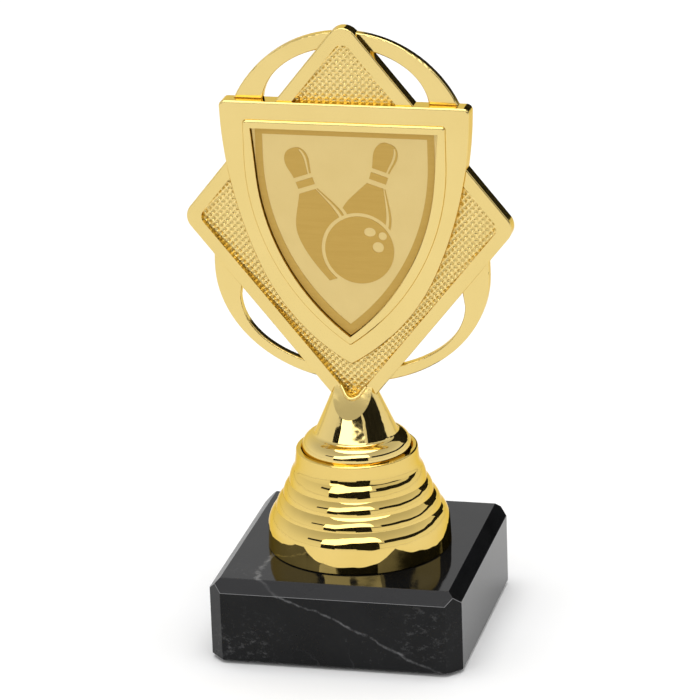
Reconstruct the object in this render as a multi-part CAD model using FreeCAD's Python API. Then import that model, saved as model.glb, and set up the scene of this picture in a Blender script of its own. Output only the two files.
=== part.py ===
import FreeCAD, Part
import math
import os

# Bowling trophy: polished marble base, gold bell-shaped riser, and a gold moulded figure
# (ring, diamond and shield on a conical stem) that carries a shield-shaped insert plate.
# Millimetres. +Z is up, the front faces -Y, and the origin is the middle of the footprint
# on the plane that the trophy stands on. Lengths along Z are heights above that plane.

Vec = FreeCAD.Vector
UP = Vec(0, 0, 1)
CENTRE_LINE = Vec(0, 0, 0)

# ---------------------------------------------------------------- driving dimensions
pad_thickness = 0.8
pad_radius = 5.5
pad_inset = 9.5

base_width = 70.0
base_height = 23.1
base_top_bevel = 3.25
base_corner_cut = 3.9
base_arris = 0.4
base_edge_round = 0.3

rod_diameter = 6.0
rod_clearance = 6.6
counterbore_radius = 11.0
counterbore_depth = 10.5

washer_radius = 6.0
washer_thickness = 1.6
spring_washer_radius = 5.6
spring_washer_thickness = 1.6
spring_washer_gap = 1.2
nut_across_flats = 10.0
nut_height = 5.0
nut_face_radius = 4.8
nut_corner_radius = 6.4
nut_cone_height = 0.9
rod_below_nut = 1.2
rod_end_chamfer = 0.6
washer_bore_clearance = 0.15

riser_height = 28.1
riser_wall = 1.8
riser_rim_radius = 16.75
riser_rim_width = 1.6
riser_seat_depth = 2.2
riser_deck_thickness = 2.0
riser_skirt_radius = 25.3
riser_foot_chamfer = 0.3
riser_boss_radius = 5.4
riser_rib_count = 6
riser_rib_thickness = 1.4

foot_radius = 15.0
foot_height = 6.4
foot_ring_drop = 3.9
stem_base_radius = 11.5
stem_top_radius = 4.57
stem_height = 15.8
ramp_rise = 13.6
ramp_slope = 46.0
lip_radius = 0.5
stem_nut_lift = 9.0
rod_into_figure = 15.5
rod_hole_clearance = 0.1
rod_hole_spare = 1.0

foot_chamfer_width = 0.4
foot_ring_swell = 0.75
foot_fillet_hollow = 0.2
foot_wall = 2.2
foot_boss_radius = 7.6
foot_core_depth = 2.6
shelf_reach = 0.9
shelf_drop = 0.35
cone_foot_inset = 0.2
cone_foot_lift = 0.55

relief_border = 3.0
relief_web = 1.8
relief_rib_width = 1.4
relief_rib_drops = (20.0, 40.0)

back_plane = 2.3
ring_thickness = 2.2
diamond_thickness = 4.0
field_plate_thickness = 1.65
shield_thickness = 5.15
bezel_rise = 0.7
edge_round = 0.35
shield_edge_round = 0.55
shield_tip_round = 1.0

diamond_half_width = 46.11
diamond_half_height = 56.86
diamond_corner_radius = 4.4
diamond_rim_width = 3.6
field_corner_radius = 2.6

ring_top_radius = 34.1
ring_low_half_width = 38.1
ring_low_half_height = 31.9
window_top_half_width = 22.9
window_top_half_height = 16.3
window_low_half_width = 31.2
window_low_half_height = 19.6
flank_cover = 0.7
flank_run = 24.0

shield_half_width = 34.3
shield_side_radius = 116.0
shield_low_radius = 58.0
shield_corner_radius = 1.6
shield_shoulder_rise = 0.6

bezel_half_width = 27.8
bezel_corner_radius = 1.0
bezel_edge_round = 0.65
bezel_tip_round = 0.8

insert_half_width = 24.65
insert_thickness = 0.8
insert_recess = 1.2
insert_clearance = 0.15
insert_edge_round = 0.15
pocket_lean = 5.0
adhesive_thickness = 0.5
adhesive_inset = 1.6
print_thickness = 0.12
print_margin = 0.1
border_half_width = 22.65

# ---------------------------------------------------------------- heights above the stand
base_bottom = pad_thickness
base_top = base_bottom + base_height
riser_top = base_top + riser_height
seat_level = riser_top - riser_seat_depth
stem_bottom = seat_level + foot_height
stem_top = stem_bottom + stem_height
ramp_top = stem_bottom + ramp_rise
diamond_centre = base_bottom + 115.93
ring_top_centre = base_bottom + 134.6
ring_low_centre = base_bottom + 101.65
window_top_centre = base_bottom + 148.0
window_low_centre = base_bottom + 93.0
shield_top = base_bottom + 149.4
shield_knee = base_bottom + 102.0
bezel_top = base_bottom + 144.4
bezel_tip = base_bottom + 81.4
insert_top = base_bottom + 142.0
insert_tip = base_bottom + 84.0
insert_shoulder = base_bottom + 134.0
border_top = base_bottom + 140.4
border_tip = base_bottom + 87.3

# ---------------------------------------------------------------- depths along Y
ring_front = back_plane - ring_thickness
diamond_front = back_plane - diamond_thickness
field_front = back_plane - field_plate_thickness
shield_front = back_plane - shield_thickness
bezel_front = shield_front - bezel_rise
insert_front = bezel_front + insert_recess
insert_back = insert_front + insert_thickness
pocket_floor = insert_back + adhesive_thickness


# ---------------------------------------------------------------- drawing helpers
def point(x, z, y=0.0):
    return Vec(x, y, z)


def line(a, b):
    return Part.makeLine(point(*a), point(*b))


def arc(a, middle, b):
    return Part.Arc(point(*a), point(*middle), point(*b)).toShape()


def arc_about(centre, radius, start, end):
    """Arc in the XZ plane; angles in degrees from +X towards +Z."""
    spots = []
    for angle in (start, (start + end) / 2.0, end):
        turn = math.radians(angle)
        spots.append((centre[0] + radius * math.cos(turn), centre[1] + radius * math.sin(turn)))
    return arc(*spots)


def angle_of(centre, spot):
    return math.degrees(math.atan2(spot[1] - centre[1], spot[0] - centre[0]))


def ellipse_arc(half_width, half_height, centre_z, start, end):
    """Part of an ellipse centred on the middle line; angles in degrees from +X towards +Z."""
    centre = point(0, centre_z)
    if half_width >= half_height:
        ellipse = Part.Ellipse(point(half_width, centre_z), point(0, centre_z + half_height), centre)
        first, last = math.radians(start), math.radians(end)
    else:
        ellipse = Part.Ellipse(point(0, centre_z + half_height), point(-half_width, centre_z), centre)
        first, last = math.radians(start - 90), math.radians(end - 90)
    return Part.ArcOfEllipse(ellipse, first, last).toShape()


def face_of(edges):
    return Part.Face(Part.Wire(Part.__sortEdges__(edges)))


def mirrored(edges):
    return [edge.mirror(CENTRE_LINE, Vec(1, 0, 0)) for edge in edges]


def symmetric_face(right_half):
    """Closed face from the right-hand half of an outline that starts and ends on x = 0."""
    return face_of(right_half + mirrored(right_half))


def slab(face, front, back):
    """Solid between two depths, from a face drawn at y = 0."""
    body = face.extrude(Vec(0, back - front, 0))
    body.translate(Vec(0, front, 0))
    return body


def rounded_polygon(corners):
    """Face with corners (x, z, radius), listed in order round the outline."""
    edges = []
    starts = []
    ends = []
    count = len(corners)
    for index in range(count):
        x, z, radius = corners[index]
        here = Vec(x, z, 0)
        before = Vec(corners[index - 1][0], corners[index - 1][1], 0)
        after = Vec(corners[(index + 1) % count][0], corners[(index + 1) % count][1], 0)
        to_before = (before - here).normalize()
        to_after = (after - here).normalize()
        half = to_before.getAngle(to_after) / 2.0
        inward = (to_before + to_after).normalize()
        reach = radius / math.tan(half)
        start = here + to_before * reach
        end = here + to_after * reach
        middle = here + inward * (radius / math.sin(half) - radius)
        if radius > 0:
            edges.append(arc((start.x, start.y), (middle.x, middle.y), (end.x, end.y)))
        starts.append(start)
        ends.append(end)
    for index in range(count):
        a = ends[index]
        b = starts[(index + 1) % count]
        edges.append(line((a.x, a.y), (b.x, b.y)))
    return face_of(edges)


def revolve(edges):
    profile = Part.Face(Part.Wire(Part.__sortEdges__(edges)))
    return profile.revolve(CENTRE_LINE, UP, 360)


def polyline(points):
    return [line(points[i], points[i + 1]) for i in range(len(points) - 1)]


def bulged(a, b, rise):
    """Arc from a to b whose middle stands out from the chord by rise, away from the axis."""
    across = Vec(b[0] - a[0], b[1] - a[1], 0)
    outward = Vec(-across.y, across.x, 0).normalize()
    middle = ((a[0] + b[0]) / 2 + outward.x * rise, (a[1] + b[1]) / 2 + outward.y * rise)
    return arc(a, middle, b)


def cylinder(radius, bottom, top, x=0.0, y=0.0):
    return Part.makeCylinder(radius, top - bottom, Vec(x, y, bottom))


def hexagon(across_flats, bottom, top):
    reach = across_flats / math.sqrt(3)
    corners = []
    for index in range(7):
        turn = math.radians(60 * index)
        corners.append(Vec(reach * math.cos(turn), reach * math.sin(turn), bottom))
    return Part.Face(Part.makePolygon(corners)).extrude(Vec(0, 0, top - bottom))


def soften(body, radius, test):
    """Round those edges of a body for which test(edge) is true."""
    edges = [edge for edge in body.Edges if test(edge)]
    return body.makeFillet(radius, edges)


def lies_at_depth(depth):
    """Test for edges that lie wholly in the plane y = depth."""
    def test(edge):
        box = edge.BoundBox
        return abs(box.YMin - depth) < 1e-4 and abs(box.YMax - depth) < 1e-4
    return test


# ---------------------------------------------------------------- base, pads and fixings
def make_marble_base():
    half = base_width / 2
    block = Part.makeBox(base_width, base_width, base_height, Vec(-half, -half, base_bottom))
    top_edges = [e for e in block.Edges if e.BoundBox.ZMin > base_top - 1e-4]
    block = block.makeChamfer(base_top_bevel, top_edges)
    reach = half - base_corner_cut
    outline = [(half, -reach), (half, reach), (reach, half), (-reach, half)]
    outline += [(-half, reach), (-half, -reach), (-reach, -half), (reach, -half)]
    corners = [Vec(x, y, base_bottom) for x, y in outline]
    prism = Part.Face(Part.makePolygon(corners + corners[:1])).extrude(UP * base_height)
    bottom_edges = [e for e in prism.Edges if e.BoundBox.ZMax < base_bottom + 1e-4]
    prism = prism.makeChamfer(base_arris, bottom_edges)
    block = block.common(prism)
    block = soften(block, base_edge_round, lambda edge: edge.BoundBox.ZMax > base_bottom + base_arris + 1e-4)
    block = block.cut(cylinder(rod_clearance / 2, base_bottom, base_top))
    return block.cut(cylinder(counterbore_radius, base_bottom, base_bottom + counterbore_depth))


def make_pads():
    reach = base_width / 2 - pad_inset
    pads = {}
    for depth_name, y in (("front", -reach), ("back", reach)):
        for side_name, x in (("left", -reach), ("right", reach)):
            pads["felt_pad_" + depth_name + "_" + side_name] = cylinder(pad_radius, 0, pad_thickness, x, y)
    return pads


# Heights of the fixings, stacked from the roof of the counterbore downwards.
washer_top = base_bottom + counterbore_depth
washer_bottom = washer_top - washer_thickness
spring_bottom = washer_bottom - spring_washer_thickness
nut_bottom = spring_bottom - nut_height
rod_bottom = nut_bottom - rod_below_nut
rod_top = seat_level + rod_into_figure
stem_nut_bottom = seat_level + stem_nut_lift
stem_nut_top = stem_nut_bottom + nut_height


def make_rod():
    rod = cylinder(rod_diameter / 2, rod_bottom, rod_top)
    return rod.makeChamfer(rod_end_chamfer, [e for e in rod.Edges if isinstance(e.Curve, Part.Circle)])


def make_nut(bottom):
    """Hexagon nut whose corners are turned back to cones above and below."""
    top = bottom + nut_height
    lower_cone = Part.makeCone(nut_face_radius, nut_corner_radius, nut_cone_height)
    lower_cone.translate(UP * bottom)
    body = cylinder(nut_corner_radius, bottom + nut_cone_height, top - nut_cone_height)
    upper_cone = Part.makeCone(nut_corner_radius, nut_face_radius, nut_cone_height)
    upper_cone.translate(UP * (top - nut_cone_height))
    nut = hexagon(nut_across_flats, bottom, top).common(lower_cone.fuse([body, upper_cone]))
    return nut.cut(cylinder(rod_diameter / 2, bottom, top))


def make_washer(radius, bottom, top):
    return cylinder(radius, bottom, top).cut(cylinder(rod_diameter / 2 + washer_bore_clearance, bottom, top))


def make_spring_washer():
    ring = make_washer(spring_washer_radius, spring_bottom, washer_bottom)
    split = Part.makeBox(spring_washer_radius + 1, spring_washer_gap, spring_washer_thickness)
    split.translate(Vec(0, -spring_washer_gap / 2, spring_bottom))
    return ring.cut(split)


# ---------------------------------------------------------------- riser
# Outer profile as (radius, drop below the rim): a tapering collar that flares at its foot,
# then four swelling rings.
collar_waist = (17.05, 3.4)
collar_foot = (17.6, 5.4)
collar_hollow = 0.1
ring_feet = [(18.95, 9.5), (20.7, 13.3), (22.8, 16.9), (25.05, 21.4)]
first_ring_swell = 0.3
ring_swell = 0.45
rim_round = 0.5
rim_round_swell = 0.14
rim_inner_chamfer = 0.3
wall_step_drop = 0.7
rib_lift = 1.5
rib_overlap = 0.4


def riser_inner_wall(grow):
    """Points up the inside of the wall, pushed into the wall by grow."""
    return [(radius - riser_wall + grow, riser_top - drop - wall_step_drop)
            for radius, drop in reversed(ring_feet)]


def make_riser():
    """Thin moulded shell with a deck that seats the figure, a central boss and radial ribs."""
    outer = [(riser_rim_radius, riser_top - rim_round)]
    for radius, drop in [collar_waist, collar_foot] + ring_feet:
        outer.append((radius, riser_top - drop))
    edges = polyline(outer[:2])
    swells = [-collar_hollow, first_ring_swell] + [ring_swell] * (len(ring_feet) - 1)
    for index, swell in enumerate(swells):
        edges.append(bulged(outer[index + 1], outer[index + 2], swell))
    heel = (riser_skirt_radius - riser_foot_chamfer, base_top)
    edges += polyline([outer[-1], (riser_skirt_radius, base_top + riser_foot_chamfer), heel])
    deck_bottom = seat_level - riser_deck_thickness
    seat_radius = riser_rim_radius - riser_rim_width
    rim_start = (riser_rim_radius - rim_round, riser_top)
    inner = [heel, (riser_skirt_radius - riser_wall, base_top)]
    inner += riser_inner_wall(0.0)
    inner += [(collar_foot[0] - riser_wall, deck_bottom), (riser_boss_radius, deck_bottom)]
    inner += [(riser_boss_radius, base_top), (rod_clearance / 2, base_top)]
    inner += [(rod_clearance / 2, seat_level), (seat_radius, seat_level)]
    inner += [(seat_radius, riser_top - rim_inner_chamfer), (seat_radius + rim_inner_chamfer, riser_top)]
    inner.append(rim_start)
    edges += polyline(inner)
    edges.append(bulged(rim_start, outer[0], rim_round_swell))
    return revolve(edges).fuse(riser_ribs(deck_bottom)).removeSplitter()


def riser_ribs(deck_bottom):
    """Radial ribs that run slightly into the boss, the wall and the deck around them."""
    rib_bottom = base_top + rib_lift
    rib_top = deck_bottom + rib_overlap
    boss_side = riser_boss_radius - rib_overlap
    outline = [(boss_side, rib_bottom), (riser_skirt_radius - riser_wall + rib_overlap, rib_bottom)]
    outline += riser_inner_wall(rib_overlap)
    outline += [(collar_foot[0] - riser_wall, rib_top), (boss_side, rib_top)]
    rib = face_of(polyline(outline + outline[:1])).extrude(Vec(0, riser_rib_thickness, 0))
    rib.translate(Vec(0, -riser_rib_thickness / 2, 0))
    ribs = []
    for index in range(riser_rib_count):
        turned = rib.copy()
        turned.rotate(CENTRE_LINE, UP, 360.0 / riser_rib_count * (index + 0.5))
        ribs.append(turned)
    return ribs


# ---------------------------------------------------------------- outlines of the figure
def ring_outline():
    """Egg shape: a half-ellipse below, a round top, and a long flank arc that joins them."""
    drop = ring_top_centre - ring_low_centre
    flank = ring_low_half_width ** 2 + drop ** 2 - ring_top_radius ** 2
    flank = flank / (2 * (ring_low_half_width - ring_top_radius))
    flank_centre = (ring_low_half_width - flank, ring_low_centre)
    top_centre = (0, ring_top_centre)
    meet = angle_of(flank_centre, top_centre)
    edges = [ellipse_arc(ring_low_half_width, ring_low_half_height, ring_low_centre, -90, 0)]
    edges.append(arc_about(flank_centre, flank, 0, meet))
    edges.append(arc_about(top_centre, ring_top_radius, meet, 90))
    return symmetric_face(edges)


def ring_opening():
    """Inside of the ring: half-ellipses above and below, joined by straight flanks."""
    edges = [ellipse_arc(window_low_half_width, window_low_half_height, window_low_centre, -90, 0)]
    low_side = (window_low_half_width, window_low_centre)
    top_side = (window_top_half_width, window_top_centre)
    edges.append(line(low_side, top_side))
    edges.append(ellipse_arc(window_top_half_width, window_top_half_height, window_top_centre, 0, 90))
    return symmetric_face(edges)


def diamond_outline(inset, radius):
    side = math.hypot(diamond_half_width, diamond_half_height)
    half_width = diamond_half_width - inset * side / diamond_half_height
    half_height = diamond_half_height - inset * side / diamond_half_width
    corners = [(half_width, diamond_centre, radius), (0, diamond_centre + half_height, radius)]
    corners += [(-half_width, diamond_centre, radius), (0, diamond_centre - half_height, radius)]
    return rounded_polygon(corners)


def shield_outline(inset=0.0):
    """Flat top and sides made of two tangent arcs that meet in a point below."""
    top = shield_top - inset
    corner = max(shield_corner_radius - inset, 0.4)
    upper_radius = shield_side_radius - inset
    lower_radius = shield_low_radius - inset
    upper_centre = (shield_half_width - shield_side_radius, shield_top + shield_shoulder_rise)
    knee_angle = -math.degrees(math.asin((upper_centre[1] - shield_knee) / shield_side_radius))
    turn = math.radians(knee_angle)
    spread = shield_side_radius - shield_low_radius
    lower_centre = (upper_centre[0] + spread * math.cos(turn), upper_centre[1] + spread * math.sin(turn))
    tip_angle = -math.degrees(math.acos(-lower_centre[0] / lower_radius))
    side_drop = upper_centre[1] - (top - corner)
    side_angle = -math.degrees(math.asin(side_drop / upper_radius))
    side_start = (upper_centre[0] + math.sqrt(upper_radius ** 2 - side_drop ** 2), top - corner)
    corner_end = (side_start[0] - corner, top)
    bend = corner * (1 - math.sqrt(0.5))
    edges = [line((0, top), corner_end)]
    edges.append(arc(corner_end, (side_start[0] - bend, top - bend), side_start))
    edges.append(arc_about(upper_centre, upper_radius, side_angle, knee_angle))
    edges.append(arc_about(lower_centre, lower_radius, knee_angle, tip_angle))
    return symmetric_face(edges)


def insert_outline(half_width, top, tip, corner=0.0, grow=0.0, lean=0.0):
    """Classic shield: sides below a flat top, upright or leaning out by lean, then arcs to a point."""
    half_width = half_width + grow
    top = top + grow
    drop = insert_shoulder - tip
    radius = ((half_width - grow) ** 2 + drop ** 2) / (2 * (half_width - grow)) + grow
    centre = (half_width - radius, insert_shoulder)
    tip_angle = -math.degrees(math.acos(-centre[0] / radius))
    turn = math.radians(lean)
    knee = (centre[0] + radius * math.cos(turn), centre[1] - radius * math.sin(turn))
    side = knee[0] + (top - knee[1]) * math.tan(turn)
    edges = [line((0, top), (side - corner, top))]
    if corner > 0:
        edges.append(arc_about((side - corner, top - corner), corner, 90, 0))
    edges.append(line((side, top - corner), knee))
    edges.append(arc_about(centre, radius, -lean, tip_angle))
    return symmetric_face(edges)


# ---------------------------------------------------------------- figure
def ring_flanks():
    """Slivers of the ring that would stand out beside the shield's shoulders."""
    reach = shield_half_width + ring_thickness
    low = shield_top - flank_run
    corners = [(-reach, low), (reach, low), (reach, shield_top), (-reach, shield_top)]
    strip = face_of(polyline(corners + corners[:1]))
    return strip.cut(shield_outline(flank_cover))


def make_ring():
    face = ring_outline().cut([ring_opening(), ring_flanks()])
    return soften(slab(face, ring_front, back_plane), edge_round, lies_at_depth(ring_front))


def make_diamond():
    body = slab(diamond_outline(0, diamond_corner_radius), diamond_front, back_plane)
    return soften(body, edge_round, lies_at_depth(diamond_front))


def field_pocket():
    """Room in front of the diamond's field, out to the front of the stem."""
    return slab(diamond_outline(diamond_rim_width, field_corner_radius), -foot_radius, field_front)


def blunt_tip(body, radius):
    """Round the edge that runs through the point at the foot of a shield."""
    lowest = body.BoundBox.ZMin + 1e-3
    return soften(body, radius, lambda edge: edge.BoundBox.ZMax < lowest)


def make_shield():
    """Thick shield with a raised bezel, whose root is sunk into the shield's face."""
    body = blunt_tip(slab(shield_outline(), shield_front, back_plane), shield_tip_round)
    body = soften(body, shield_edge_round, lies_at_depth(shield_front))
    bezel_face = insert_outline(bezel_half_width, bezel_top, bezel_tip, corner=bezel_corner_radius)
    bezel = blunt_tip(slab(bezel_face, bezel_front, shield_front + bezel_rise), bezel_tip_round)
    bezel = soften(bezel, bezel_edge_round, lies_at_depth(bezel_front))
    return body.fuse(bezel)


def insert_pocket():
    """Pocket that follows the insert plate with a little room all round."""
    face = insert_outline(insert_half_width, insert_top, insert_tip, grow=insert_clearance, lean=pocket_lean)
    return slab(face, bezel_front, pocket_floor)


def stem_profile():
    """Half-section of the stem: foot ring in the riser's seat, fillet, then a straight cone."""
    foot_chamfer = (foot_radius - foot_chamfer_width, seat_level)
    foot_side = (foot_radius, seat_level + foot_chamfer_width)
    ring_edge = (foot_radius, seat_level + foot_height - foot_ring_drop)
    shelf = (stem_base_radius + shelf_reach, stem_bottom - shelf_drop)
    cone_foot = (stem_base_radius - cone_foot_inset, stem_bottom + cone_foot_lift)
    cone_top = (stem_top_radius, stem_top)
    edges = polyline([(0, seat_level), foot_chamfer, foot_side, ring_edge])
    edges.append(bulged(shelf, ring_edge, foot_ring_swell))
    edges.append(bulged(cone_foot, shelf, -foot_fillet_hollow))
    edges += polyline([cone_foot, cone_top, (0, stem_top), (0, seat_level)])
    return edges


def ramp_corners():
    """Upper and lower end, in the plane x = 0, of the ramp that leads up to the diamond's front."""
    turn = math.radians(ramp_slope)
    along = Vec(0, math.cos(turn), math.sin(turn))
    edge = Vec(0, diamond_front, ramp_top)
    return edge + along * foot_radius, edge - along * foot_radius


def ramp_wedge():
    """Everything in front of the ramp, the full width of the stem."""
    high, low = ramp_corners()
    corners = [high, low, Vec(0, low.y, high.z), high]
    wedge = Part.Face(Part.makePolygon(corners)).extrude(Vec(2 * foot_radius, 0, 0))
    wedge.translate(Vec(-foot_radius, 0, 0))
    return wedge


def make_lip():
    """Round bead along the mouth of the field's lower point, where it breaks through the ramp."""
    across = Vec(foot_radius, 0, 0)
    low = ramp_corners()[1]
    high = Vec(0, diamond_front, ramp_top)
    corners = [high - across, high + across, low + across, low - across]
    ramp = Part.Face(Part.makePolygon(corners + corners[:1]))
    path = Part.Wire(Part.__sortEdges__(field_pocket().section(ramp).Edges))
    start = path.OrderedVertexes[0].Point
    heading = path.OrderedEdges[0].tangentAt(path.OrderedEdges[0].FirstParameter)
    ring = Part.Wire([Part.makeCircle(lip_radius, start, heading)])
    return path.makePipeShell([ring], True, True)


def make_stem():
    """Cone under the diamond, sloped off in front and behind to meet the diamond's faces."""
    stem = revolve(stem_profile())
    front_wedge = ramp_wedge()
    back_wedge = front_wedge.mirror(Vec(0, (diamond_front + back_plane) / 2, 0), Vec(0, 1, 0))
    stem = stem.cut([front_wedge, back_wedge])
    core_top = seat_level + foot_core_depth
    core = cylinder(foot_radius - foot_wall, seat_level, core_top)
    return stem.cut(core.cut(cylinder(foot_boss_radius, seat_level, core_top)))


def back_relief():
    """Shallow cored panels on the back of the shield, with ribs left standing between them."""
    panel = slab(shield_outline(relief_border), pocket_floor + relief_web, back_plane)
    reach = 2 * shield_half_width
    upright = Part.makeBox(relief_rib_width, back_plane, reach)
    upright.translate(Vec(-relief_rib_width / 2, 0, shield_top - reach))
    ribs = [upright]
    for drop in relief_rib_drops:
        crossbar = Part.makeBox(reach, back_plane, relief_rib_width)
        crossbar.translate(Vec(-reach / 2, 0, shield_top - drop))
        ribs.append(crossbar)
    return panel.cut(ribs)


def make_figure():
    """Ring, diamond, shield and stem in one moulding, hollowed for the insert, rod and nut."""
    figure = make_ring().fuse([make_diamond(), make_stem()]).cut(field_pocket())
    figure = figure.fuse([make_lip(), make_shield()]).cut(insert_pocket())
    figure = figure.cut(back_relief())
    nut_pocket = hexagon(nut_across_flats, stem_nut_bottom, stem_nut_top)
    rod_hole = cylinder(rod_diameter / 2 + rod_hole_clearance, seat_level, rod_top + rod_hole_spare)
    return figure.cut(nut_pocket.fuse(rod_hole)).removeSplitter()


# ---------------------------------------------------------------- insert plate and its print
def make_insert_plate():
    face = insert_outline(insert_half_width, insert_top, insert_tip, lean=pocket_lean)
    plate = slab(face, insert_front, insert_back)
    return soften(plate, insert_edge_round, lies_at_depth(insert_front))


def make_adhesive_pad():
    face = insert_outline(insert_half_width, insert_top, insert_tip, grow=-adhesive_inset)
    return slab(face, insert_back, pocket_floor)


# A pin is drawn upright from its head down: (half-width, distance below the top of the head).
pin_head_side = [(0.0, 0.0), (2.4, 0.85), (3.3, 3.2), (2.95, 5.8), (2.5, 8.0)]
pin_band_side = [(2.45, 9.25), (2.4, 11.2)]
pin_body_side = [(2.67, 12.6), (4.7, 16.3), (7.0, 21.8), (6.9, 26.7), (5.6, 32.1), (3.4, 38.0)]
pin_gap = 1.0
head_gleam_shares = (0.62, 0.82)
body_gleam_shares = (0.78, 0.91)
left_pin = ((-14.5, base_bottom + 136.6), -19.0)
right_pin = ((12.2, base_bottom + 138.8), 18.0)
ball_radius = 9.5
ball_centre = (3.2, base_bottom + 108.6)
finger_holes = [(6.2, 113.8, 1.6, 1.3), (9.7, 112.8, 1.15, 1.15), (8.4, 109.6, 1.55, 1.5)]


def side_curve(side, factor=1.0):
    spots = [point(factor * x, -z) for x, z in side]
    if len(spots) == 2:
        return Part.makeLine(spots[0], spots[1])
    curve = Part.BSplineCurve()
    curve.interpolate(spots)
    return curve.toShape()


def lobe(side):
    """Closed face between a side curve and its mirror image."""
    edges = [side_curve(side), side_curve(side, -1.0)]
    for x, z in (side[0], side[-1]):
        if x > 0:
            edges.append(line((-x, -z), (x, -z)))
    return face_of(edges)


def gleam(side, shares):
    """Light stripe inside the right edge of a pin, between two shares of its half-width."""
    inner = [(x * shares[0], z) for x, z in side]
    outer = [(x * shares[1], z) for x, z in side]
    edges = [side_curve(inner), side_curve(outer)]
    edges.append(line((inner[0][0], -inner[0][1]), (outer[0][0], -outer[0][1])))
    edges.append(line((inner[-1][0], -inner[-1][1]), (outer[-1][0], -outer[-1][1])))
    return face_of(edges)


def pin_faces():
    head = lobe(pin_head_side).cut(gleam(pin_head_side[1:], head_gleam_shares))
    body = lobe(pin_body_side).cut(gleam(pin_body_side[:-1], body_gleam_shares))
    return [head, lobe(pin_band_side), body]


def placed(face, top, lean):
    """Move an upright pin so its head is at top, leaning by lean degrees."""
    moved = face.copy()
    moved.rotate(CENTRE_LINE, Vec(0, 1, 0), lean)
    moved.translate(point(top[0], top[1]))
    return moved


def disc(x, z, half_width, half_height):
    if abs(half_width - half_height) < 1e-6:
        circle = Part.makeCircle(half_width, point(x, z), Vec(0, 1, 0))
        return Part.Face(Part.Wire([circle]))
    ellipse = Part.Ellipse(point(x + half_width, z), point(x, z + half_height), point(x, z))
    return Part.Face(Part.Wire([ellipse.toShape()]))


def make_motif():
    """Two pins behind a ball, and a border, all printed a hair above the plate's face."""
    ball_edge = disc(ball_centre[0], ball_centre[1], ball_radius + pin_gap, ball_radius + pin_gap)
    near_body = placed(lobe([(x + pin_gap, z) for x, z in pin_body_side]), *left_pin)
    faces = [placed(face, *left_pin).cut(ball_edge) for face in pin_faces()]
    faces += [placed(face, *right_pin).cut(ball_edge).cut(near_body) for face in pin_faces()]
    ball = disc(ball_centre[0], ball_centre[1], ball_radius, ball_radius)
    for x, z, half_width, half_height in finger_holes:
        ball = ball.cut(disc(x, base_bottom + z, half_width, half_height))
    faces.append(ball)
    border = insert_outline(insert_half_width, insert_top, insert_tip, grow=-print_margin)
    faces.append(border.cut(insert_outline(border_half_width, border_top, border_tip)))
    solids = []
    for face in faces:
        for patch in face.Faces:
            solids.append(slab(patch, insert_front - print_thickness, insert_front))
    return Part.makeCompound(solids)


# ---------------------------------------------------------------- all nodes
def make_all():
    nodes = {"marble_base": make_marble_base()}
    nodes.update(make_pads())
    nodes["riser"] = make_riser()
    nodes["figure"] = make_figure()
    nodes["insert_adhesive"] = make_adhesive_pad()
    nodes["insert_plate"] = make_insert_plate()
    nodes["insert_print"] = make_motif()
    nodes["threaded_rod"] = make_rod()
    nodes["stem_nut"] = make_nut(stem_nut_bottom)
    nodes["base_nut"] = make_nut(nut_bottom)
    nodes["flat_washer"] = make_washer(washer_radius, washer_bottom, washer_top)
    nodes["spring_washer"] = make_spring_washer()
    return nodes


os.makedirs("parts", exist_ok=True)
for name, shape in make_all().items():
    shape.exportStep("parts/" + name + ".step")
    box = shape.BoundBox
    print("%-22s solids %d  volume %9.1f  valid %s  x %.1f..%.1f  y %.1f..%.1f  z %.1f..%.1f" % (
        name, len(shape.Solids), shape.Volume, shape.isValid(),
        box.XMin, box.XMax, box.YMin, box.YMax, box.ZMin, box.ZMax))
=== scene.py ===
import math

import bmesh
import bpy
from mathutils import Matrix, Vector
from mathutils.bvhtree import BVHTree


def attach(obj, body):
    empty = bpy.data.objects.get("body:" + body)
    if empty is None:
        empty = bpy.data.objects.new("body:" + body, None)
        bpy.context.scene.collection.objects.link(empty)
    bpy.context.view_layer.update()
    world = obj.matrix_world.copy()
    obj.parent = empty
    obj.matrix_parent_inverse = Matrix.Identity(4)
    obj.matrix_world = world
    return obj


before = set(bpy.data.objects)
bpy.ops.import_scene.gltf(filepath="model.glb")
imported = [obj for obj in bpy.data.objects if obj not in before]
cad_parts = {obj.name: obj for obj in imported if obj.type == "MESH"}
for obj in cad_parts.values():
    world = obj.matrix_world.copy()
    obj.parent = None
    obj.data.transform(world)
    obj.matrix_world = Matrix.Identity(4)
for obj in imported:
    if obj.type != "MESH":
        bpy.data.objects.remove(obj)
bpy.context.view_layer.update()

# Looks for the bowling trophy: metallised gold figure and riser, polished black marble base,
# satin insert plate with its print. The object's and the camera's lengths are in millimetres here,
# and MM turns them into metres. The studio's lengths and the depths of bumps are in metres.

MM = 0.001

# ---------------------------------------------------------------- driving values
# The diamond's field, as in the CAD model.
DIAMOND_CENTRE = 116.73
DIAMOND_HALF_WIDTH = 46.11
DIAMOND_HALF_HEIGHT = 56.86
DIAMOND_RIM = 3.6
FIELD_DEPTH = 0.65
FIELD_TOLERANCE = 0.05

# How far the stipple's trimmed edge and its side walls run into the rim and the field.
FIELD_OVERLAP = 0.02
# Where rays that look for the field start, in front of the figure.
RAY_START = -50.0

# Stipple: flat ridges on a 45 degree square grid with a small dished cell between them.
CELL_PITCH = 1.41
RIDGE_WIDTH = 0.38
CELL_DEPTH = 0.20
RIDGE_TOP = 0.3
CELL_SHARES = (0.0, 0.35, 0.62, 0.82, 0.93, 1.0)
DISH_POWER = 3.0

# Heights over which the figure's plating passes from the bright stem to the hazier flats.
FLATS_START = 64.0
FLATS_FULL = 70.0

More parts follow.
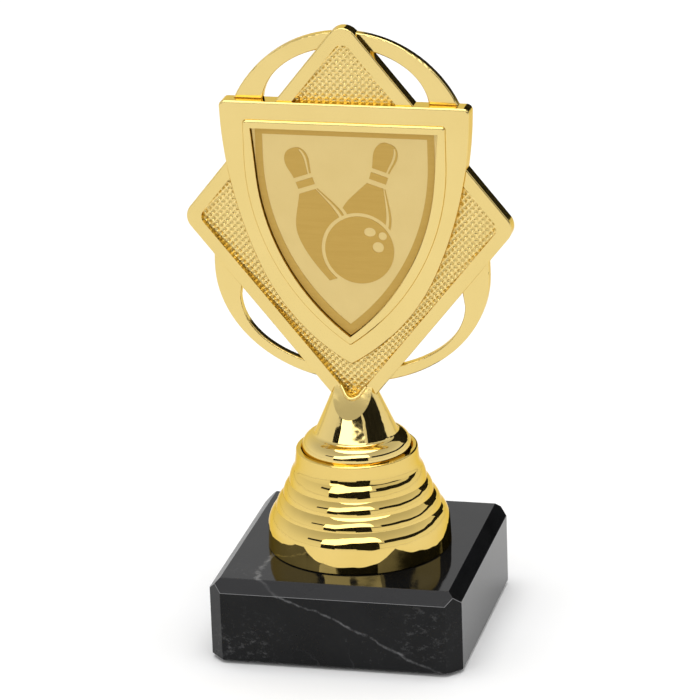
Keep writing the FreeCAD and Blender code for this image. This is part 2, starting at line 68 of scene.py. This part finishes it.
# Main vein on the marble's front: a line z = level - slope * x, and its half width.
VEIN_SLOPE = 0.42
VEIN_LEVEL = 14.6
VEIN_HALF_WIDTH = 0.55

# Crazed patches on the marble's front: their middles, and where they start and stop fading.
CRAZED_SPOTS = ((25.0, -35.0, 12.0), (-22.0, -35.0, 5.0), (-30.0, -35.0, 4.0))
CRAZED_CORE = 3.0
CRAZED_REACH = 12.0

# Camera: direction from the object, roll, distance, lens and the point it looks at.
VIEW_AZIMUTH = 13.8
VIEW_ELEVATION = 20.05
VIEW_ROLL = -2.0
VIEW_DISTANCE = 1201.94
LENS = 227.3
SENSOR = 36.0
TARGET_SIDE = -0.98
TARGET_HEIGHT = 79.74
CLIP_NEAR = 50.0
CLIP_FAR = 30000.0

# Light, in metres and watts: the room's strength at the horizon and overhead, the overhead light,
# the floor's reach and the height that the cards stand round.
HORIZON_STRENGTH = 1.05
CEILING_STRENGTH = 0.62
LIGHT_WIDTH = 2.2
LIGHT_POWER = 34.0
LIGHT_HEIGHT = 2.4
FLOOR_REACH = 6.0
CARD_MIDDLE = 0.08
CARD_LIGHT_STRENGTH = 3.0

# Cards round the object: each edge is (azimuth, lowest elevation, highest elevation) in degrees,
# and the radii are in metres.
# The black ones make the dark bands in the gold, and the white one makes the highlights above them.
FRONT_GAP = ((-37, -7, 12), (-19.01, -7, 12), (-19, 0, 13), (-8, 0, 18), (0, 0, 24.5),
             (10.99, 0, 25.5), (11, -7, 25.5), (35, -7, 25.5))
LEFT_GAP = ((-56, 17, 23), (-37.5, 19, 26))
RIGHT_GAP = ((35, 17, 20), (43.99, 17, 20), (44, 17, 29), (60, 16, 28), (80, 13, 25),
             (104, 11, 19.5), (140, 9, 17))
BACK_RIGHT = ((138, 8, 24), (150, 4, 36), (166, 2, 42), (184, 2, 40), (188, 2, 36))
FRONT_LIGHT = ((-38, 12, 31), (-20, 14, 38), (-8, 20, 46), (0, 24, 48), (20, 24, 50), (40, 26, 44))
GAP_RADIUS = 1.3
BACK_RADIUS = 1.4
FRONT_LIGHT_RADIUS = 1.5

# Colours, as linear red, green and blue. A pair is what a slow mottle drifts between.
FIGURE_GOLD = ((0.765, 0.592, 0.232), (0.735, 0.562, 0.212))
RISER_GOLD = ((0.755, 0.560, 0.180), (0.715, 0.520, 0.152))
RIDGE_GOLD = ((0.88, 0.685, 0.285), (0.84, 0.645, 0.250))
# Painted shade: a darker gold put down in the stipple's recessed cells.
CELL_SHADE_GOLD = (0.66, 0.500, 0.185)
# Tint that keeps the plating golden where it is seen edge-on.
EDGE_TINT = (0.86, 0.70, 0.34)
PLATE_GOLD = ((0.735, 0.562, 0.228), (0.705, 0.532, 0.208))
PLATE_GRAIN = (0.80, 0.635, 0.29)
PRINT_GOLD = ((0.532, 0.336, 0.067), (0.512, 0.321, 0.061))
PRINT_GRAIN = (0.60, 0.40, 0.11)
MARBLE_GROUND = ((0.0030, 0.0032, 0.0035), (0.0080, 0.0083, 0.0090))
WEB_GREY = (0.10, 0.10, 0.105)
SPECKLE_GREY = (0.13, 0.13, 0.13)
CRAZED_GREY = (0.12, 0.12, 0.122)
VEIN_GREY = (0.20, 0.20, 0.205)
BEVEL_GREY = (0.030, 0.030, 0.032)
# Painted highlight: a pale grey laid along the rounded arrises below the bevels.
ARRIS_HIGHLIGHT_GREY = (0.26, 0.26, 0.265)
FELT_GREY = ((0.018, 0.018, 0.020), (0.055, 0.055, 0.060))
ZINC_GREY = ((0.56, 0.57, 0.58), (0.70, 0.70, 0.69))
FOAM_WHITE = ((0.86, 0.86, 0.83), (0.70, 0.70, 0.67))
PAPER_WHITE = ((0.90, 0.90, 0.90), (0.92, 0.92, 0.92))
CARD_BLACK = (0.004, 0.004, 0.004)
BLACK = (0.0, 0.0, 0.0)
WHITE = (1.0, 1.0, 1.0)

# Parts of a noise's range, which runs from 0 to 1 and mostly stays near the middle.
NARROW = (0.35, 0.65)
BROAD = (0.3, 0.7)


# ---------------------------------------------------------------- materials
class Graph:
    """Short names for building one material's node tree."""

    def __init__(self, name):
        self.material = bpy.data.materials.new(name)
        self.material.use_nodes = True
        self.tree = self.material.node_tree
        self.shader = self.tree.nodes["Principled BSDF"]

    def node(self, kind, inputs=(), **settings):
        made = self.tree.nodes.new("ShaderNode" + kind)
        for key, value in settings.items():
            setattr(made, key, value)
        for key, value in dict(inputs).items():
            if isinstance(value, bpy.types.NodeSocket):
                self.tree.links.new(value, made.inputs[key])
            else:
                made.inputs[key].default_value = value
        return made

    def place(self):
        return self.node("TexCoord").outputs["Object"]

    def moved(self, where, scale=(1, 1, 1), offset=(0, 0, 0), turn=(0, 0, 0)):
        mapping = self.node("Mapping", {"Vector": where, "Scale": scale,
                                        "Location": offset, "Rotation": turn})
        return mapping.outputs["Vector"]

    def noise(self, where, per_metre, detail=3.0, rough=0.5, distortion=0.0):
        made = self.node("TexNoise", {"Vector": where, "Scale": per_metre, "Detail": detail,
                                      "Roughness": rough, "Distortion": distortion})
        return made.outputs["Fac"]

    def span(self, value, low, high, to_low=0.0, to_high=1.0, smooth=False):
        kind = "SMOOTHSTEP" if smooth else "LINEAR"
        made = self.node("MapRange", {"Value": value, "From Min": low, "From Max": high,
                                      "To Min": to_low, "To Max": to_high}, interpolation_type=kind)
        return made.outputs["Result"]

    def math(self, kind, a, b=0.0, c=0.0):
        return self.node("Math", {0: a, 1: b, 2: c}, operation=kind).outputs[0]

    def vector_math(self, kind, a, b):
        return self.node("VectorMath", {0: a, 1: b}, operation=kind).outputs[0]

    def vector_scale(self, a, scale):
        return self.node("VectorMath", {0: a, "Scale": scale}, operation="SCALE").outputs[0]

    def band(self, value, rise_from, rise_to, fall_from, fall_to):
        """1 between the two slopes, 0 outside them."""
        return self.math("MULTIPLY", self.span(value, rise_from, rise_to),
                         self.span(value, fall_from, fall_to, 1.0, 0.0))

    def blend(self, share, a, b):
        made = self.node("Mix", {"Factor": share}, data_type="RGBA")
        for index, value in ((6, a), (7, b)):
            if isinstance(value, bpy.types.NodeSocket):
                self.tree.links.new(value, made.inputs[index])
            else:
                made.inputs[index].default_value = (*value, 1.0)
        return made.outputs[2]

    def bump(self, height, distance, strength=1.0, normal=None):
        inputs = {"Height": height, "Distance": distance, "Strength": strength}
        if normal is not None:
            inputs["Normal"] = normal
        return self.node("Bump", inputs).outputs["Normal"]

    def shade(self, **values):
        """Set or link the shader's own sockets, named with underscores for spaces."""
        for key, value in values.items():
            socket = self.shader.inputs[key.replace("_", " ")]
            if isinstance(value, bpy.types.NodeSocket):
                self.tree.links.new(value, socket)
            elif socket.type == "RGBA":
                socket.default_value = (*value, 1.0)
            else:
                socket.default_value = value
        return self.material


def gold_figure():
    """Vacuum-metallised plastic: gold mirror with soft mould waviness and a faint haze."""
    g = Graph("gold_plating_figure")
    where = g.place()
    tone = g.noise(where, per_metre=34.0, detail=4.0)
    haze = g.noise(where, per_metre=140.0, detail=5.0, rough=0.6)
    waves = g.noise(where, per_metre=46.0, detail=1.5)
    ripple = g.noise(where, per_metre=210.0, detail=2.0)
    surface = g.bump(ripple, 0.00004, normal=g.bump(waves, 0.0006))
    height = g.node("SeparateXYZ", {"Vector": where}).outputs["Z"]
    on_flats = g.span(height, FLATS_START * MM, FLATS_FULL * MM)
    hazy = g.span(haze, *BROAD, to_low=0.035, to_high=0.075)
    return g.shade(Base_Color=g.blend(g.span(tone, *NARROW), *FIGURE_GOLD), Metallic=1.0,
                   Roughness=g.math("MULTIPLY_ADD", on_flats, 0.07, hazy),
                   Specular_Tint=EDGE_TINT, Normal=surface)


def gold_stipple():
    """The plating over the stipple, a little duller, with painted shade that darkens it down in the
    cells.
    """
    g = Graph("gold_plating_stipple")
    where = g.place()
    tone = g.noise(where, per_metre=60.0, detail=4.0)
    ridges = g.blend(g.span(tone, *NARROW), *RIDGE_GOLD)
    below = g.node("SeparateXYZ", {"Vector": where}).outputs["Y"]
    # Painted shade: the colour darkens with depth below the ridge tops, down in the cells.
    cell_shade = g.span(below, (RIDGE_TOP + 0.01) * MM, (RIDGE_TOP + 0.10) * MM)
    haze = g.noise(where, per_metre=900.0, detail=4.0, rough=0.6)
    grain = g.noise(where, per_metre=2200.0, detail=3.0, rough=0.6)
    return g.shade(Base_Color=g.blend(cell_shade, ridges, CELL_SHADE_GOLD), Metallic=1.0,
                   Roughness=g.span(haze, *BROAD, to_low=0.22, to_high=0.36),
                   Normal=g.bump(grain, 0.00002))


def gold_riser():
    """The same plating on the turned shape, bright and nearly free of haze."""
    g = Graph("gold_plating_riser")
    where = g.place()
    tone = g.noise(where, per_metre=40.0, detail=4.0)
    haze = g.noise(where, per_metre=160.0, detail=5.0, rough=0.6)
    waves = g.noise(g.moved(where, scale=(1, 1, 0.5)), per_metre=85.0, detail=2.0)
    return g.shade(Base_Color=g.blend(g.span(tone, *NARROW), *RISER_GOLD), Metallic=1.0,
                   Roughness=g.span(haze, *BROAD, to_low=0.02, to_high=0.05),
                   Specular_Tint=EDGE_TINT, Normal=g.bump(waves, 0.00050))


def marble_vein(g, where, bent):
    """How strongly the one long pale vein shows: a swaying, broken line down the front."""
    swayed = g.vector_math("ADD", where, g.vector_scale(bent, 0.008))
    side = g.node("SeparateXYZ", {"Vector": swayed})
    strand = g.math("MULTIPLY_ADD", side.outputs["X"], VEIN_SLOPE, side.outputs["Z"])
    offset = g.math("ABSOLUTE", g.math("SUBTRACT", strand, VEIN_LEVEL * MM))
    line = g.span(offset, 0.0, VEIN_HALF_WIDTH * MM, 1.0, 0.0, smooth=True)
    broken = g.span(g.noise(where, per_metre=260.0, detail=6.0, rough=0.75), 0.38, 0.60)
    return g.math("MULTIPLY", line, broken)


def marble_web(g, where, warped):
    """Faint net of thin veins, in patches."""
    net = g.node("TexVoronoi", {"Vector": g.moved(warped, (1.0, 1.0, 1.5), turn=(0.3, 0.5, 0.2)),
                                "Scale": 34.0}, feature="DISTANCE_TO_EDGE").outputs["Distance"]
    line = g.span(net, 0.0, 0.012, 1.0, 0.0, smooth=True)
    patches = g.noise(g.moved(where, offset=(0.013, 0.02, 0.008)), per_metre=34.0, detail=2.0)
    return g.math("MULTIPLY", line, g.span(patches, 0.56, 0.70))


def marble_speckle(g, where, warped):
    """Fine pale dots, in clouds."""
    dots = g.noise(where, per_metre=900.0, detail=3.0, rough=0.8)
    clouds = g.noise(g.moved(warped, offset=(0.03, 0.0, 0.0)), per_metre=62.0, detail=4.0)
    return g.math("MULTIPLY", g.span(dots, 0.60, 0.72), g.span(clouds, 0.52, 0.68))


def marble_crazing(g, where):
    """Short pale cracks in a few patches near the front's corners."""
    sloped = g.moved(where, (0.7, 1.0, 1.0), turn=(0.0, 0.7, 0.0))
    cracks = g.noise(sloped, per_metre=640.0, detail=5.0, rough=0.8)
    worn = 0.0
    for spot in CRAZED_SPOTS:
        centre = tuple(length * MM for length in spot)
        away = g.node("VectorMath", {0: where, 1: centre}, operation="DISTANCE").outputs["Value"]
        worn = g.math("MAXIMUM", worn, g.span(away, CRAZED_CORE * MM, CRAZED_REACH * MM, 1.0, 0.0))
    return g.math("MULTIPLY", g.span(cracks, 0.54, 0.68), worn)


def black_marble():
    """Polished black marble: charcoal clouding, pale veins, speckle, and a painted highlight along the
    rounded edges at the bevels' lower side.

    The bevels are finely ground and greyer, except on the right, where they are polished.
    """
    g = Graph("marble_polished")
    where = g.place()
    warp = g.node("TexNoise", {"Vector": where, "Scale": 38.0, "Detail": 5.0, "Roughness": 0.6})
    bent = g.vector_math("SUBTRACT", warp.outputs["Color"], (0.5, 0.5, 0.5))
    warped = g.vector_math("ADD", where, g.vector_scale(bent, 0.022))
    clouding = g.noise(warped, per_metre=70.0, detail=6.0, rough=0.65)
    colour = g.blend(g.span(clouding, 0.3, 0.75), *MARBLE_GROUND)

    normal = g.node("SeparateXYZ", {"Vector": g.node("TexCoord").outputs["Normal"]})
    on_slope = g.band(normal.outputs["Z"], 0.25, 0.45, 0.85, 0.95)
    not_right = g.span(normal.outputs["X"], 0.2, 0.5, 1.0, 0.0)
    ground_bevel = g.math("MULTIPLY", on_slope, not_right)
    # Painted highlight: normals between the front faces and the bevels get a pale grey line, as a glint
    # on the arris.
    arris_highlight = g.band(normal.outputs["Z"], 0.10, 0.22, 0.45, 0.62)

    for mask, strength, grey in (
            (marble_web(g, where, warped), 0.30, WEB_GREY),
            (marble_speckle(g, where, warped), 0.42, SPECKLE_GREY),
            (marble_crazing(g, where), 0.45, CRAZED_GREY),
            (marble_vein(g, where, bent), 0.60, VEIN_GREY),
            (ground_bevel, 0.7, BEVEL_GREY),
            (arris_highlight, 0.8, ARRIS_HIGHLIGHT_GREY)):
        colour = g.blend(g.math("MULTIPLY", mask, strength), colour, grey)

    polish = g.span(g.noise(where, per_metre=90.0, detail=4.0), *BROAD, to_low=0.04, to_high=0.09)
    surface = g.bump(g.noise(where, per_metre=380.0, detail=4.0, rough=0.6), 0.00001)
    return g.shade(Base_Color=colour, Roughness=g.math("MULTIPLY_ADD", ground_bevel, 0.22, polish),
                   IOR=1.26, Normal=surface)


def satin_plate():
    """Satin anodised aluminium with a fine even grain."""
    g = Graph("insert_satin")
    where = g.place()
    grain = g.noise(where, per_metre=5200.0, detail=2.0, rough=0.7)
    tone = g.noise(where, per_metre=120.0, detail=4.0)
    colour = g.blend(g.span(tone, *BROAD), *PLATE_GOLD)
    colour = g.blend(g.span(grain, *NARROW, to_high=0.25), colour, PLATE_GRAIN)
    return g.shade(Base_Color=colour, Metallic=0.75,
                   Roughness=g.span(grain, *BROAD, to_low=0.42, to_high=0.58),
                   Normal=g.bump(grain, 0.000008))


def printed_gold():
    """Darker gold print with faint brushed streaks."""
    g = Graph("insert_print_satin")
    where = g.place()
    brushed = g.moved(where, (1.0, 1.0, 14.0), turn=(0, 0.10, 0))
    streaks = g.noise(brushed, per_metre=90.0, detail=4.0, rough=0.6)
    grain = g.noise(where, per_metre=5200.0, detail=2.0, rough=0.7)
    colour = g.blend(g.span(streaks, 0.35, 0.68), *PRINT_GOLD)
    colour = g.blend(g.span(grain, *NARROW, to_high=0.18), colour, PRINT_GRAIN)
    return g.shade(Base_Color=colour, Metallic=0.45,
                   Roughness=g.span(streaks, *BROAD, to_low=0.52, to_high=0.60),
                   Normal=g.bump(grain, 0.000006))


def felt():
    """Dense dark felt with a fuzzy surface."""
    g = Graph("felt_fibres")
    fibres = g.noise(g.place(), per_metre=2600.0, detail=5.0, rough=0.75, distortion=1.2)
    return g.shade(Base_Color=g.blend(g.span(fibres, *NARROW), *FELT_GREY), Roughness=0.95,
                   Sheen_Weight=0.4, Normal=g.bump(fibres, 0.00012))


def zinc_steel():
    """Bright zinc plating with fine turning marks round the rod's axis."""
    g = Graph("zinc_plating")
    where = g.place()
    rings = g.noise(g.moved(where, scale=(0.05, 0.05, 1.0)), per_metre=2400.0, detail=3.0)
    spangle = g.noise(where, per_metre=420.0, detail=4.0)
    return g.shade(Base_Color=g.blend(g.span(spangle, *BROAD), *ZINC_GREY), Metallic=1.0,
                   Roughness=g.span(spangle, *BROAD, to_low=0.22, to_high=0.38),
                   Normal=g.bump(rings, 0.00003))


def adhesive_foam():
    """White double-sided foam tape with small open cells."""
    g = Graph("adhesive_foam")
    cells = g.node("TexVoronoi", {"Vector": g.place(), "Scale": 2600.0}).outputs["Distance"]
    return g.shade(Base_Color=g.blend(g.span(cells, 0.1, 0.7), *FOAM_WHITE), Roughness=0.85,
                   Normal=g.bump(cells, 0.00005))


def floor_paper():
    """Plain pale sweep."""
    g = Graph("floor_paper")
    tone = g.noise(g.place(), per_metre=6.0, detail=3.0)
    return g.shade(Base_Color=g.blend(g.span(tone, *BROAD), *PAPER_WHITE), Roughness=0.9)


# ---------------------------------------------------------------- stippled field
def field_cells(bvh, across, along, origin):
    """Grid cells, as (column, row), where the CAD field shows from the front at any corner."""
    reach = int(DIAMOND_HALF_HEIGHT / CELL_PITCH) + 2
    shown = {}

    def open_at(column, row):
        key = (column, row)
        if key not in shown:
            spot = origin + across * (column * CELL_PITCH * MM) + along * (row * CELL_PITCH * MM)
            hit = bvh.ray_cast(Vector((spot.x, RAY_START * MM, spot.z)), Vector((0, 1, 0)))[0]
            shown[key] = hit is not None and abs(hit.y - FIELD_DEPTH * MM) < FIELD_TOLERANCE * MM
        return shown[key]

    cells = []
    for column in range(-reach, reach):
        for row in range(-reach, reach):
            corners = [(column + i, row + j) for i in (0, 1) for j in (0, 1)]
            if any(open_at(*corner) for corner in corners):
                cells.append((column, row))
    return cells


def stippled_field():
    """Ridges and dished cells over the diamond's plain field, trimmed to the rim."""
    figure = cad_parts["figure"]
    bvh = BVHTree.FromObject(figure, bpy.context.evaluated_depsgraph_get())
    across = Vector((math.sqrt(0.5), 0, math.sqrt(0.5)))
    along = Vector((-math.sqrt(0.5), 0, math.sqrt(0.5)))
    origin = Vector((0, 0, DIAMOND_CENTRE * MM))
    half = (CELL_PITCH - RIDGE_WIDTH) / 2
    steps = [-CELL_PITCH / 2] + [-half * s for s in reversed(CELL_SHARES)]
    steps += [half * s for s in CELL_SHARES[1:]] + [CELL_PITCH / 2]

    def depth(s, t):
        if abs(s) >= half or abs(t) >= half:
            return RIDGE_TOP
        dish = (1 - (abs(s) / half) ** DISH_POWER) * (1 - (abs(t) / half) ** DISH_POWER)
        return RIDGE_TOP + CELL_DEPTH * dish

    mesh = bmesh.new()
    made = {}

    def vertex(column, i, row, j):
        if i == len(steps) - 1:
            column, i = column + 1, 0
        if j == len(steps) - 1:
            row, j = row + 1, 0
        key = (column, i, row, j)
        if key not in made:
            u = (column + 0.5) * CELL_PITCH + steps[i]
            v = (row + 0.5) * CELL_PITCH + steps[j]
            spot = origin + across * (u * MM) + along * (v * MM)
            spot.y = depth(steps[i], steps[j]) * MM
            made[key] = mesh.verts.new(spot)
        return made[key]

    for column, row in field_cells(bvh, across, along, origin):
        for i in range(len(steps) - 1):
            for j in range(len(steps) - 1):
                mesh.faces.new((vertex(column, i, row, j), vertex(column, i, row, j + 1),
                                vertex(column, i + 1, row, j + 1), vertex(column, i + 1, row, j)))
    side = math.hypot(DIAMOND_HALF_WIDTH, DIAMOND_HALF_HEIGHT)
    inner_width = DIAMOND_HALF_WIDTH - DIAMOND_RIM * side / DIAMOND_HALF_HEIGHT
    for sign_x in (-1, 1):
        for sign_z in (-1, 1):
            outward = Vector((sign_x * DIAMOND_HALF_HEIGHT, 0, sign_z * DIAMOND_HALF_WIDTH)).normalized()
            corner = origin + Vector((sign_x * inner_width * MM, 0, 0)) + outward * (FIELD_OVERLAP * MM)
            bmesh.ops.bisect_plane(mesh, geom=mesh.verts[:] + mesh.edges[:] + mesh.faces[:],
                                   plane_co=corner, plane_no=outward, clear_outer=True)
    rim = [edge for edge in mesh.edges if edge.is_boundary]
    walls = bmesh.ops.extrude_edge_only(mesh, edges=rim)["geom"]
    for vert in walls:
        if isinstance(vert, bmesh.types.BMVert):
            vert.co.y = (FIELD_DEPTH + FIELD_OVERLAP) * MM
    bmesh.ops.recalc_face_normals(mesh, faces=mesh.faces[:])
    # The ridges and cells have to face the front, which is -Y.
    if sum(face.normal.y * face.calc_area() for face in mesh.faces) > 0:
        bmesh.ops.reverse_faces(mesh, faces=mesh.faces[:])
    data = bpy.data.meshes.new("stippled_field")
    mesh.to_mesh(data)
    mesh.free()
    for polygon in data.polygons:
        polygon.use_smooth = True
    piece = bpy.data.objects.new("stippled_field", data)
    bpy.context.scene.collection.objects.link(piece)
    piece.data.materials.append(gold_stipple())
    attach(piece, "root")
    return piece


# ---------------------------------------------------------------- studio
def direction(azimuth, elevation):
    """Unit vector away from the object; azimuth 0 is the front, 90 the right-hand side."""
    a = math.radians(azimuth)
    e = math.radians(elevation)
    return Vector((math.sin(a) * math.cos(e), -math.cos(a) * math.cos(e), math.sin(e)))


def make_camera():
    back = direction(VIEW_AZIMUTH, VIEW_ELEVATION)
    level = (-back).cross(Vector((0, 0, 1))).normalized()
    upright = level.cross(-back)
    roll = math.radians(VIEW_ROLL)
    right = level * math.cos(roll) + upright * math.sin(roll)
    up = upright * math.cos(roll) - level * math.sin(roll)
    target = right * (TARGET_SIDE * MM) + Vector((0, 0, TARGET_HEIGHT * MM))
    place = target + back * (VIEW_DISTANCE * MM)
    data = bpy.data.cameras.new("camera")
    data.lens = LENS
    data.sensor_width = SENSOR
    data.clip_start = CLIP_NEAR * MM
    data.clip_end = CLIP_FAR * MM
    camera = bpy.data.objects.new("camera", data)
    camera.matrix_world = Matrix((
        (right.x, up.x, back.x, place.x),
        (right.y, up.y, back.y, place.y),
        (right.z, up.z, back.z, place.z),
        (0, 0, 0, 1)))
    bpy.context.scene.collection.objects.link(camera)
    bpy.context.scene.camera = camera


def make_floor():
    data = bpy.data.meshes.new("floor")
    signs = ((-1, -1), (1, -1), (1, 1), (-1, 1))
    data.from_pydata([(x * FLOOR_REACH, y * FLOOR_REACH, 0) for x, y in signs], [], [(0, 1, 2, 3)])
    floor = bpy.data.objects.new("floor", data)
    bpy.context.scene.collection.objects.link(floor)
    data.materials.append(floor_paper())


def make_card(name, edges, radius, emission=None):
    """Curved card round the object, seen only in reflections. Edges are (azimuth, low, high)."""
    mesh = bmesh.new()
    middle = Vector((0, 0, CARD_MIDDLE))
    rows = []
    for azimuth, low, high in edges:
        rows.append([mesh.verts.new(direction(azimuth, e) * radius + middle) for e in (low, high)])
    for a, b in zip(rows, rows[1:]):
        mesh.faces.new((a[0], b[0], b[1], a[1]))
    data = bpy.data.meshes.new(name)
    mesh.to_mesh(data)
    mesh.free()
    card = bpy.data.objects.new(name, data)
    bpy.context.scene.collection.objects.link(card)
    g = Graph(name)
    if emission is None:
        data.materials.append(g.shade(Base_Color=CARD_BLACK, Roughness=1.0))
    else:
        data.materials.append(g.shade(Base_Color=BLACK, Emission_Color=WHITE,
                                      Emission_Strength=emission))
    card.visible_camera = False
    card.visible_diffuse = False
    card.visible_shadow = False
    card.visible_transmission = False


def make_overhead_light():
    """Wide soft light straight above, which also brings the floor up to white."""
    data = bpy.data.lights.new("light_overhead", "AREA")
    data.shape = "DISK"
    data.size = LIGHT_WIDTH
    data.energy = LIGHT_POWER
    light = bpy.data.objects.new("light_overhead", data)
    light.location = (0.0, 0.0, LIGHT_HEIGHT)
    bpy.context.scene.collection.objects.link(light)


def make_surround():
    """White room that is brightest at the horizon and falls off softly towards the ceiling."""
    world = bpy.data.worlds.new("soft_surround")
    world.use_nodes = True
    nodes = world.node_tree.nodes
    links = world.node_tree.links
    height = nodes.new("ShaderNodeSeparateXYZ")
    links.new(nodes.new("ShaderNodeTexCoord").outputs["Generated"], height.inputs[0])
    falloff = nodes.new("ShaderNodeMapRange")
    falloff.interpolation_type = "SMOOTHSTEP"
    for name, value in (("From Min", 0.0), ("From Max", 1.0),
                        ("To Min", HORIZON_STRENGTH), ("To Max", CEILING_STRENGTH)):
        falloff.inputs[name].default_value = value
    links.new(height.outputs["Z"], falloff.inputs["Value"])
    surround = nodes["Background"]
    surround.inputs["Color"].default_value = (*WHITE, 1.0)
    links.new(falloff.outputs["Result"], surround.inputs["Strength"])
    bpy.context.scene.world = world


def make_studio():
    make_floor()
    make_surround()
    make_overhead_light()
    make_card("card_front_gap", FRONT_GAP, GAP_RADIUS)
    make_card("card_left_gap", LEFT_GAP, GAP_RADIUS)
    make_card("card_right_gap", RIGHT_GAP, GAP_RADIUS)
    make_card("card_back_right", BACK_RIGHT, BACK_RADIUS)
    make_card("card_light", FRONT_LIGHT, FRONT_LIGHT_RADIUS, CARD_LIGHT_STRENGTH)


# ---------------------------------------------------------------- assembly
NODE_MATERIALS = {
    "figure": gold_figure(),
    "riser": gold_riser(),
    "marble_base": black_marble(),
    "insert_plate": satin_plate(),
    "insert_print": printed_gold(),
    "insert_adhesive": adhesive_foam(),
}
felt_material = felt()
steel_material = zinc_steel()
for name in ("felt_pad_front_left", "felt_pad_front_right", "felt_pad_back_left", "felt_pad_back_right"):
    NODE_MATERIALS[name] = felt_material
for name in ("threaded_rod", "stem_nut", "base_nut", "flat_washer", "spring_washer"):
    NODE_MATERIALS[name] = steel_material
for name, material in NODE_MATERIALS.items():
    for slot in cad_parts[name].material_slots:
        slot.material = material

stippled_field()
make_camera()
make_studio()
bpy.context.scene.view_settings.view_transform = "Standard"
